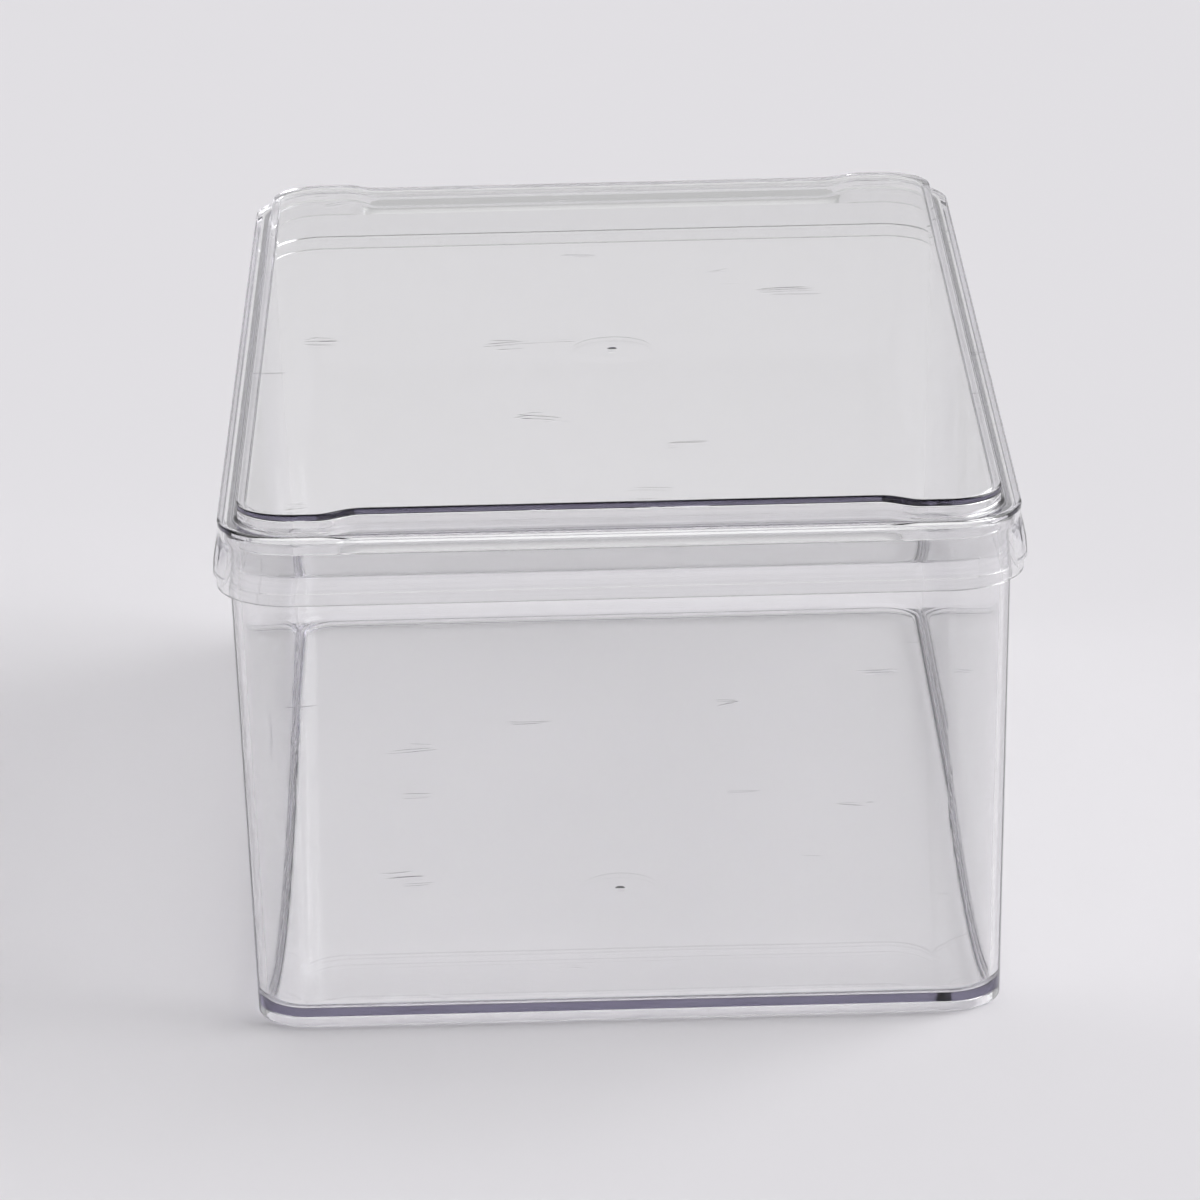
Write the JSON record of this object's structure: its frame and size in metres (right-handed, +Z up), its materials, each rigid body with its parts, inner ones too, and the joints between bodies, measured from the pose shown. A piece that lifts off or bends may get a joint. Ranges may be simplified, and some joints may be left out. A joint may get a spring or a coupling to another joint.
{
  "type": "storage box with lid",
  "caption": "Clear moulded storage box with drafted walls, a raised foot ring and a lift-off lid with a flared skirt, raised panel and finger recesses.",
  "frame": {"origin": "centre of the footprint, on the surface that the foot ring stands on", "axes": "+Z up out of the mouth, +Y along the length of the box, +X across it; both halves are alike, so +Y may point to either short end"},
  "size_m": [0.152, 0.2422, 0.1025],
  "materials": {
    "clear_body": "clear moulded acrylic, polished mould surface, faint cool grey tint",
    "clear_lid": "clear moulded acrylic, polished mould surface, faint cool grey tint"
  },
  "bodies": {
    "box": {"box_body": "clear_body"},
    "lid": {"lid": "clear_lid"}
  },
  "joints": [
    {"name": "lid_lift", "type": "slide", "parent": "box", "child": "lid", "axis": [0, 0, 1], "range_m": [0, 0.06]}
  ]
}
